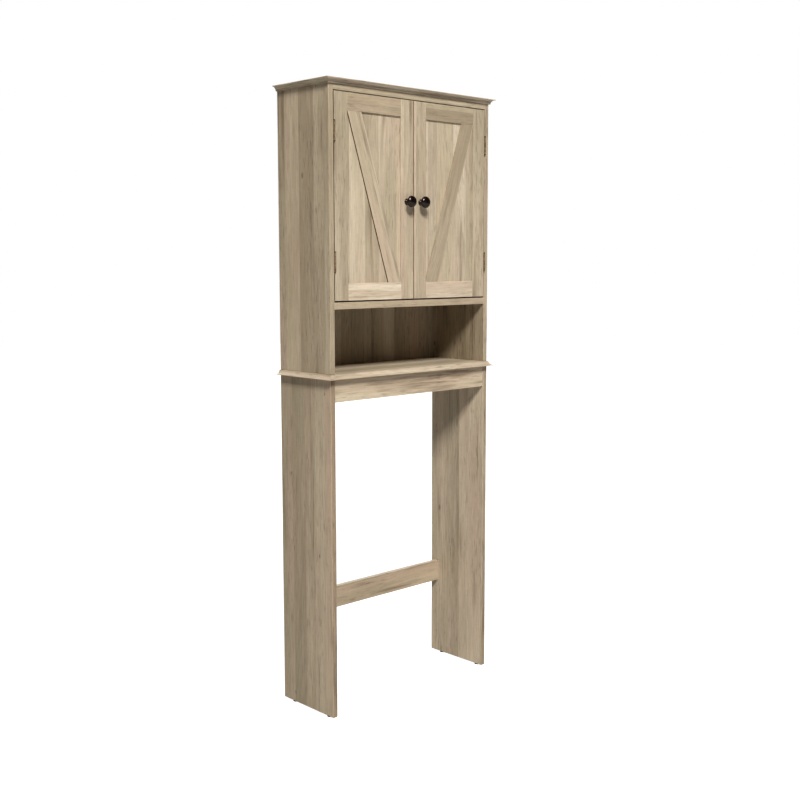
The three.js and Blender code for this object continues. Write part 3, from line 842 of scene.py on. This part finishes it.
def build_back_panel():
    """Thin hardboard, printed in oak on its front and raw on its back and edges. The front's oak is
    dimmed as painted shade, as inside the cabinet.
    """
    node = "back_panel"
    bm = clean_copy(node)
    for face in bm.faces:
        face.material_index = 0 if face.normal.y < -0.9 else 1
    piece = new_object(f"{node}_look", bm, [OAK_INSIDE_SHADE, HARDBOARD])
    set_grain(piece.data, Z_AXIS, X_AXIS, f"{node} b", 0.98, 0.4)
    settle(piece, "hardboard", node)


# ---- Mouldings ----

# Brightness of the front strip and of the side strips. The crown's front strip is set lighter as
# painted light, for the floor's bounce light in the shade under its lip.
MOULDING_TONES = {"crown": (1.31, 1.12), "waist": (1.08, 1.16)}


def cove_section(overhang, height):
    """Points (out, up) of the strip's section, with the wide lip at up = 0."""
    rise = height - MOULDING_LIP
    run = overhang - MOULDING_FOOT
    lip_low = (overhang - LIP_ROUND, LIP_ROUND)
    lip_high = (overhang - LIP_ROUND, MOULDING_LIP - LIP_ROUND)
    points = [(-MOULDING_BACKING, 0.0)]
    points += arc_points(lip_low, LIP_ROUND, -90, 0, LIP_ROUND_STEPS)
    points += arc_points(lip_high, LIP_ROUND, 0, 90, LIP_ROUND_STEPS)
    for step in range(1, COVE_STEPS + 1):
        angle = math.radians(90) * step / COVE_STEPS
        out = overhang - run * math.sin(angle)
        if out < overhang - LIP_ROUND:
            points.append((out, MOULDING_LIP + rise * (1 - math.cos(angle))))
    points.append((-MOULDING_BACKING, height))
    return points


def add_strip(bm, section, start_at, end_at, place):
    """A prism of the section whose ends slope with the section's first number."""
    ends = []
    for reach in (start_at, end_at):
        ends.append([bm.verts.new(place(reach(out), out, up)) for out, up in section])
    join_rings(bm, *ends)
    for ring in ends:
        bm.faces.new(ring)
    bmesh.ops.recalc_face_normals(bm, faces=bm.faces)


def moulding(prefix, word, section, span, place, along, tone, blush):
    """One cove strip. span gives its two ends for a point of the section."""
    node = f"{prefix}_moulding_{word}"
    bm = bmesh.new()
    add_strip(bm, section, *span, place)
    piece = new_object(f"{node}_look", bm, [OAK_MOULDING], 28)
    set_grain(piece.data, along, Z_AXIS, f"{prefix} {word}", tone, blush)
    settle(piece, "oak_moulding", node)


def build_mouldings(prefix, direction):
    """Three mitred cove strips. direction is +1 where they grow up from the lip."""
    front_tone, side_tone = MOULDING_TONES[prefix]
    low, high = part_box(f"{prefix}_moulding_front")
    back_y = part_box(f"{prefix}_moulding_left")[1].y
    carcass_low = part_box("upper_side_left")[0]
    front_y = carcass_low.y
    half_width = -carcass_low.x
    lip_z = low.z if direction > 0 else high.z
    section = cove_section(front_y - low.y, high.z - low.z)

    span = (
        lambda out: -(half_width + out - MOULDING_MITRE_GAP),
        lambda out: half_width + out - MOULDING_MITRE_GAP,
    )
    moulding(
        prefix, "front", section, span,
        lambda along, out, up: Vector((along, front_y - out, lip_z + direction * up)),
        X_AXIS, front_tone, 0.2,
    )
    span = (lambda out: back_y, lambda out: front_y - out + MOULDING_MITRE_GAP)
    for word, side in SIDES.items():
        moulding(
            prefix, word, section, span,
            lambda along, out, up: Vector((side * (half_width + out), along, lip_z + direction * up)),
            Y_AXIS, side_tone, 0.1,
        )


# ---- Doors ----

# Brightness, blush and pattern of each part.
DOOR_LOOKS = {
    "left": {
        "hinge_stile": (1.01, 0.2, "a"), "meeting_stile": (1.04, 0.6, "c"),
        "top_rail": (0.9, 0.5, "c"), "bottom_rail": (1.33, 0.4, "i"),
        "centre_panel": (1.06, 0.45, "c"), "brace": (1.06, 0.1, "c"),
    },
    "right": {
        "hinge_stile": (1.02, 0.5, "d"), "meeting_stile": (1.13, 0.5, "d"),
        "top_rail": (0.97, 0.4, "d"), "bottom_rail": (1.14, 0.35, "f"),
        "centre_panel": (1.19, 0.25, "f"), "brace": (0.93, 0.1, "d"),
    },
}


def door_face_picker(part, door_low, door_high):
    """Tells faces with the oak print (0) from faces with painted shade (1): a brace's underside, and
    the door's outer edges that face left and up, where the key light reaches into narrow gaps. The
    painted shade stands in for the dark of those gaps and of the brace's shaded underside."""

    def pick(face):
        if part == "brace":
            return int(face.normal.z < -0.1)
        in_gap = face.normal.x < -0.5 or face.normal.z > 0.5
        return int(in_gap and is_outer(face, door_low, door_high))

    return pick


def build_door(word, side):
    """Two stiles, two rails, a recessed panel and a slanting brace."""
    stiles = [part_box(f"door_{word}_{part}_stile") for part in ("hinge", "meeting")]
    door_low, door_high = bounds_of([corner for stile in stiles for corner in stile])
    for part, (tone, blush, pattern) in DOOR_LOOKS[word].items():
        node = f"door_{word}_{part}"
        along, across = Z_AXIS, X_AXIS
        if part.endswith("rail"):
            along, across = X_AXIS, Z_AXIS
        if part == "brace":
            low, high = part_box(node)
            along = Vector((side * (high.x - low.x - BRACE_LEVEL_WIDTH), 0, high.z - low.z))
        board(node, [OAK_DOOR, DOOR_GAP_SHADE], "oak_door", along, across, tone, blush,
              radius=DOOR_EDGE_RADIUS, every_edge=(part == "brace"),
              pick=door_face_picker(part, door_low, door_high), pattern=pattern)


# ---- Knobs ----


def build_knob(word):
    """A mushroom knob on a stepped foot."""
    node = f"knob_{word}"
    low, high, centre = box_of(node)
    head = (high.x - low.x) / 2
    reach = high.y - low.y
    foot = KNOB_FOOT_RADIUS
    neck = KNOB_NECK_RADIUS
    foot_edge = [
        (0.0, 0.0), (foot - 0.4 * MM, 0.0), (foot, 0.4 * MM), (foot, 1.2 * MM),
        (foot - 0.4 * MM, 1.7 * MM), (foot - 1.0 * MM, 1.8 * MM),
    ]
    stem = smooth_profile([
        (foot - 1.0 * MM, 1.8 * MM), (foot - 1.8 * MM, 2.8 * MM), (neck + 0.5 * MM, 4.6 * MM),
        (neck, 8.0 * MM), (neck + 1.0 * MM, 11.6 * MM), (head * 0.62, 14.6 * MM),
    ], 8)
    cap = smooth_profile([
        (head * 0.62, 14.6 * MM), (head * 0.86, 15.9 * MM), (head * 0.985, 18.0 * MM),
        (head, 20.0 * MM), (head * 0.965, 22.2 * MM), (head * 0.83, 24.9 * MM),
        (head * 0.58, 27.2 * MM), (head * 0.29, 28.4 * MM), (0.0, reach),
    ], 8)
    bm = bmesh.new()
    add_turned(bm, foot_edge + stem[1:] + cap[1:], (centre.x, high.y, centre.z), -Y_AXIS,
               KNOB_SEGMENTS)
    fitting(node, bm, [BRONZE_KNOB], "bronze_knob", 40, worn=True)


def build_knob_screw(word):
    """The long screw that holds the knob, with its head inside the door."""
    node = f"knob_screw_{word}"
    low, high, centre = box_of(node)
    foot_y = high.y - KNOB_SCREW_DOME
    bm = bmesh.new()
    add_screw(bm, (centre.x, foot_y, centre.z), Y_AXIS, (high.x - low.x) / 2, foot_y - low.y,
              KNOB_SCREW_DOME)
    fitting(node, bm, [ZINC], "steel")


# ---- Hinges ----


def add_knuckle(bm, axis_point, low_z, high_z):
    """A rolled tube around the hinge pin."""
    round_off = 0.25 * MM
    section = [
        (KNUCKLE_BORE, low_z), (KNUCKLE_RADIUS - round_off, low_z),
        (KNUCKLE_RADIUS, low_z + round_off), (KNUCKLE_RADIUS, high_z - round_off),
        (KNUCKLE_RADIUS - round_off, high_z), (KNUCKLE_BORE, high_z), (KNUCKLE_BORE, low_z),
    ]
    add_turned(bm, section, (axis_point.x, axis_point.y, 0), Z_AXIS, PIN_SEGMENTS)
    bmesh.ops.remove_doubles(bm, verts=bm.verts, dist=WELD)


def add_leaf_plate(bm, middle, depth, height, facing):
    """The screwed plate of a leaf, with its free corners rounded."""
    corner_u = depth / 2 - LEAF_CORNER
    corner_v = height / 2 - LEAF_CORNER
    outline = [(-depth / 2, -height / 2), (-depth / 2, height / 2)]
    outline += arc_points((corner_u, corner_v), LEAF_CORNER, 90, 0, 6)
    outline += arc_points((corner_u, -corner_v), LEAF_CORNER, 0, -90, 6)
    screw_u = HINGE_SCREW_DEPTH - depth / 2
    levels = [k * HINGE_SCREW_SPACING for k in (-1, 0, 1)]
    hole_radius = HINGE_SCREW_RADIUS + 0.08 * MM
    holes = [arc_points((screw_u, v), hole_radius, 0, 345, 23) for v in levels]
    outline, *holes = [[(facing * u, v) for u, v in loop] for loop in [outline, *holes]]
    add_plate(bm, outline, holes, middle, Y_AXIS * facing, Z_AXIS, LEAF_THICKNESS)
    for v in levels:
        centre = middle + Vector((-facing * 0.04 * MM, screw_u, v))
        add_screw(bm, centre, X_AXIS * facing, HINGE_SCREW_RADIUS, HINGE_SCREW_LENGTH)


def build_leaf(level, word, side, kind):
    """One hinge leaf: a screwed plate with rounded corners and its rolled knuckles."""
    node = f"hinge_{level}_{word}_{kind}_leaf"
    plate_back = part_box(node)[1].y
    frame_low, frame_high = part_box(f"hinge_{level}_{word}_frame_leaf")
    axis_point = box_of(f"hinge_{level}_{word}_pin")[2]
    bottom = frame_low.z
    height = frame_high.z - bottom
    facing = side if kind == "door" else -side
    face_x = axis_point.x - facing * LEAF_CLEARANCE
    plate_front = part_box("upper_side_left")[0].y + LEAF_CLEARANCE
    middle = Vector((face_x, (plate_front + plate_back) / 2, bottom + height / 2))
    bm = bmesh.new()
    add_leaf_plate(bm, middle, plate_back - plate_front, height, facing)

    pitch = height / HINGE_KNUCKLES
    first = 0 if kind == "frame" else 1
    for index in range(first, HINGE_KNUCKLES, 2):
        low_z = bottom + index * pitch
        high_z = low_z + pitch
        if index > 0:
            low_z += KNUCKLE_PLAY / 2
        if index < HINGE_KNUCKLES - 1:
            high_z -= KNUCKLE_PLAY / 2
        add_knuckle(bm, axis_point, low_z, high_z)
        tab = sorted((face_x, face_x - facing * LEAF_THICKNESS))
        add_box(bm, (tab[0], axis_point.y + KNUCKLE_BORE, low_z),
                (tab[1], plate_front + 0.3 * MM, high_z))
    fitting(node, bm, [BRASS_HINGE], "bronze_hinge", worn=True)


def build_hinge_pin(level, word):
    """The hinge pin with its two button ends."""
    node = f"hinge_{level}_{word}_pin"
    low, high, centre = box_of(node)
    cap = (high.x - low.x) / 2
    length = high.z - low.z
    button = [
        (0.0, 0.0), (cap * 0.35, 0.06 * MM), (cap * 0.66, 0.32 * MM), (cap * 0.88, 0.85 * MM),
        (cap, 1.5 * MM), (cap, HINGE_CAP_HEIGHT - 0.15 * MM),
        (cap - 0.15 * MM, HINGE_CAP_HEIGHT), (HINGE_PIN_RADIUS, HINGE_CAP_HEIGHT),
    ]
    far_button = [(radius, length - along) for radius, along in reversed(button)]
    bm = bmesh.new()
    add_turned(bm, button + far_button, (centre.x, centre.y, low.z), Z_AXIS, PIN_SEGMENTS)
    fitting(node, bm, [BRONZE_KNOB], "bronze_hinge", 40, worn=True)


# ---- Catch, shelf pins and feet ----


def add_catch_bar(bm, x, z, size, front_y, depth, radius, material):
    """One magnet or pole plate of the catch, centred on x and z."""
    width, height = size
    add_box(bm, (x - width / 2, front_y, z - height / 2),
            (x + width / 2, front_y + depth, z + height / 2), radius, material=material)


def build_catch():
    """A double magnetic catch: a moulded housing, two magnets with pole plates, three screws."""
    node = "magnetic_catch"
    plastic_part, metal_part, magnet_part = 0, 1, 2
    low, high, centre = box_of(node)
    bm = bmesh.new()
    add_box(bm, (low.x, low.y + 0.7 * MM, low.z + 1.2 * MM), high, 0.9 * MM, 3, plastic_part)
    magnet_z = centre.z + 0.6 * MM
    pole_offset = (CATCH_MAGNET_SIZE[1] + 1.4 * MM) / 2
    for side in SIDES.values():
        x = side * CATCH_MAGNET_X
        add_catch_bar(bm, x, magnet_z, CATCH_MAGNET_SIZE, low.y + 0.25 * MM, 3.75 * MM, 0.25 * MM,
                      magnet_part)
        for z in (magnet_z - pole_offset, magnet_z + pole_offset):
            add_catch_bar(bm, x, z, CATCH_POLE_SIZE, low.y, 5 * MM, 0.2 * MM, metal_part)
    for x in (-CATCH_SCREW_X, CATCH_SCREW_X, 0.0):
        add_screw(bm, (x, centre.y + 2 * MM, low.z + 1.2 * MM), -Z_AXIS, 2.6 * MM, 10 * MM,
                  CATCH_SCREW_DOME, metal_part)
    fitting(node, bm, [WHITE_PLASTIC, ZINC, BLACK_PLASTIC], "white_plastic")


def build_strike(word):
    """A small steel plate on the back of a door, with one screw."""
    node = f"strike_plate_{word}"
    low, high, centre = box_of(node)
    face_at = Vector((centre.x, high.y, centre.z))
    outline = rounded_rectangle(high.x - low.x, high.z - low.z, STRIKE_CORNER)
    hole = arc_points((0, 0), STRIKE_SCREW_RADIUS + 0.1 * MM, 0, 345, 23)
    bm = bmesh.new()
    add_plate(bm, outline, [hole], face_at, -X_AXIS, Z_AXIS, high.y - low.y)
    add_screw(bm, face_at - Y_AXIS * 0.05 * MM, Y_AXIS, STRIKE_SCREW_RADIUS, 8 * MM)
    fitting(node, bm, [ZINC], "steel")


def build_shelf_pin(row, word, side):
    """A steel shelf pin with a collar against the cabinet side."""
    node = f"shelf_pin_{row}_{word}"
    low, high, centre = box_of(node)
    collar = (high.z - low.z) / 2
    length = high.x - low.x
    shaft = SHELF_PIN_RADIUS
    chamfer = 0.4 * MM
    collar_start = SHELF_PIN_HIDDEN + 0.2 * MM
    collar_end = collar_start + 1.2 * MM
    profile = [
        (0, 0), (shaft - chamfer, 0), (shaft, chamfer), (shaft, collar_start),
        (collar - 0.2 * MM, collar_start), (collar, collar_start + 0.2 * MM),
        (collar, collar_end - 0.2 * MM), (collar - 0.2 * MM, collar_end), (shaft, collar_end),
        (shaft, length - chamfer), (shaft - chamfer, length), (0, length),
    ]
    start_x = high.x if side > 0 else low.x
    bm = bmesh.new()
    add_turned(bm, profile, (start_x, centre.y, centre.z), X_AXIS * -side, PIN_SEGMENTS)
    fitting(node, bm, [ZINC], "steel")


def build_foot_glide(row, word):
    """A nail-on plastic glide with a rounded rim, and its nail."""
    node = f"foot_glide_{row}_{word}"
    low, high, centre = box_of(node)
    radius = (high.x - low.x) / 2
    length = high.z - low.z
    top = GLIDE_HEIGHT
    nail = GLIDE_NAIL_RADIUS
    origin = (centre.x, centre.y, low.z)
    rim = arc_points((radius - 1.2 * MM, 1.2 * MM), 1.2 * MM, -90, 0, 6)
    profile = [(0, 0.25 * MM), (radius * 0.45, 0.2 * MM), (radius * 0.5, 0.0)] + rim
    profile += [(radius - 0.35 * MM, top - 0.3 * MM), (radius - 0.7 * MM, top), (nail, top)]
    bm = bmesh.new()
    add_turned(bm, profile + [(0, top)], origin, Z_AXIS, PIN_SEGMENTS)
    add_turned(bm, [(0, top - 1 * MM), (nail, top - 1 * MM), (nail, length - 2 * MM), (0, length)],
               origin, Z_AXIS, 16, 1)
    fitting(node, bm, [BLACK_PLASTIC, ZINC], "black_plastic")


# ---- Fittings on hidden faces ----


def build_cam_covers(node, facing):
    """Round covers over a board's cam fittings: two at each end of a panel, on its underside, and
    one at each end of a rail, on its back."""
    low, high, centre = box_of(node)
    rim = CAM_COVER_RADIUS
    profile = [
        (0, -CAM_COVER_DEPTH), (rim - 1 * MM, -CAM_COVER_DEPTH), (rim - 1 * MM, 0), (rim, 0),
        (rim - 0.1 * MM, CAM_COVER_THICKNESS * 0.7), (rim - 0.5 * MM, CAM_COVER_THICKNESS),
        (0, CAM_COVER_THICKNESS * 1.1),
    ]
    offsets = [0.0]
    if facing.z:
        spread = (high.y - low.y) * CAM_COVER_ROW_SHARE
        offsets = [-spread, spread]
    bm = bmesh.new()
    for end_x in (low.x + CAM_COVER_FROM_END, high.x - CAM_COVER_FROM_END):
        for offset in offsets:
            spot = (end_x, centre.y + offset, low.z) if facing.z else (end_x, high.y, centre.z)
            add_turned(bm, profile, spot, facing, PIN_SEGMENTS)
    piece = new_object(f"cam_covers_{node}", bm, [WHITE_PLASTIC], 30)
    settle(piece, "white_plastic", body="cabinet")


def build_back_nails():
    """Round-headed nails through the back panel into the fixed shelf and the top panel."""
    back_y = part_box("back_panel")[1].y
    profile = [
        (0, -12 * MM), (0.7 * MM, -11 * MM), (0.7 * MM, -0.1 * MM), (2.6 * MM, -0.1 * MM),
        (2.7 * MM, 0.1 * MM), (2.3 * MM, 0.5 * MM), (1.2 * MM, 0.75 * MM), (0, 0.8 * MM),
    ]
    bm = bmesh.new()
    for node in ("fixed_shelf", "top_panel"):
        low, high, centre = box_of(node)
        run = high.x - low.x - 2 * BACK_NAIL_FROM_END
        for k in range(BACK_NAILS):
            x = low.x + BACK_NAIL_FROM_END + run * k / (BACK_NAILS - 1)
            add_turned(bm, profile, (x, back_y, centre.z), Y_AXIS, NAIL_SEGMENTS)
    piece = new_object("back_panel_nails", bm, [ZINC], 35)
    settle(piece, "steel", body="cabinet")


# ---- Studio ----


def build_camera():
    """The photograph's viewing angle."""
    back = Vector((
        math.sin(VIEW_AZIMUTH) * math.cos(VIEW_ELEVATION),
        -math.cos(VIEW_AZIMUTH) * math.cos(VIEW_ELEVATION),
        math.sin(VIEW_ELEVATION),
    ))
    data = bpy.data.cameras.new("camera")
    data.lens = LENS
    data.sensor_width = SENSOR_WIDTH
    data.shift_y = VIEW_SHIFT_UP
    camera = bpy.data.objects.new("camera", data)
    camera.location = VIEW_TARGET + back * VIEW_DISTANCE
    camera.rotation_mode = "QUATERNION"
    aim = (-back).to_track_quat("-Z", "Y")
    camera.rotation_quaternion = aim @ Quaternion(Z_AXIS, VIEW_ROLL)
    scene.collection.objects.link(camera)
    scene.camera = camera


def add_lamp(name, kind, toward, energy):
    """A light that shines along the opposite of toward."""
    data = bpy.data.lights.new(name, kind)
    data.energy = energy
    lamp = bpy.data.objects.new(name, data)
    lamp.rotation_mode = "QUATERNION"
    lamp.rotation_quaternion = toward.to_track_quat("Z", "Y")
    scene.collection.objects.link(lamp)
    return lamp


def add_key():
    """A large round soft box in front, left and above, near enough to fade toward the floor."""
    energy = KEY_STRENGTH * math.pi * KEY_DISTANCE ** 2
    lamp = add_lamp("key", "AREA", KEY_DIRECTION, energy)
    lamp.data.shape = "DISK"
    lamp.data.size = 2 * KEY_DISTANCE * math.tan(KEY_ANGLE / 2)
    lamp.location = KEY_AIM + KEY_DIRECTION.normalized() * KEY_DISTANCE


def add_fill():
    """A very soft sun from behind on the right."""
    lamp = add_lamp("fill", "SUN", FILL_DIRECTION, FILL_STRENGTH)
    lamp.data.angle = FILL_ANGLE


def build_studio():
    """A pale floor, a key light from the front left, a fill from behind and a weak ambient."""
    bm = bmesh.new()
    bmesh.ops.create_circle(bm, cap_ends=True, radius=FLOOR_RADIUS, segments=96)
    floor = new_object("floor", bm, [pale_floor("pale_floor")])

    add_key()
    add_fill()
    world = bpy.data.worlds.new("studio")
    scene.world = world
    world.use_nodes = True
    tree = world.node_tree
    ambient = tree.nodes["Background"]
    backdrop = tree.nodes.new("ShaderNodeBackground")
    for background, strength in ((ambient, AMBIENT), (backdrop, BACKDROP_WHITE)):
        background.inputs["Color"].default_value = (1, 1, 1, 1)
        background.inputs["Strength"].default_value = strength
    path = tree.nodes.new("ShaderNodeLightPath")
    choose = tree.nodes.new("ShaderNodeMixShader")
    sources = (path.outputs["Is Camera Ray"], ambient.outputs[0], backdrop.outputs[0])
    for source, socket in zip(sources, choose.inputs):
        tree.links.new(source, socket)
    tree.links.new(choose.outputs[0], tree.nodes["World Output"].inputs["Surface"])
    scene.view_settings.view_transform = "Standard"


# ---- Assembly ----

build_camera()
build_studio()
build_carcass()
build_back_panel()
build_mouldings("crown", -1)
build_mouldings("waist", 1)
for word, side in SIDES.items():
    build_door(word, side)
    build_knob(word)
    build_knob_screw(word)
    build_strike(word)
    for level in ("upper", "lower"):
        build_leaf(level, word, side, "frame")
        build_leaf(level, word, side, "door")
        build_hinge_pin(level, word)
    for row in ("front", "rear"):
        build_shelf_pin(row, word, side)
        build_foot_glide(row, word)
build_catch()
for node in ("fixed_shelf", "top_panel"):
    build_cam_covers(node, -Z_AXIS)
for node in ("apron", "rear_stretcher"):
    build_cam_covers(node, Y_AXIS)
build_back_nails()
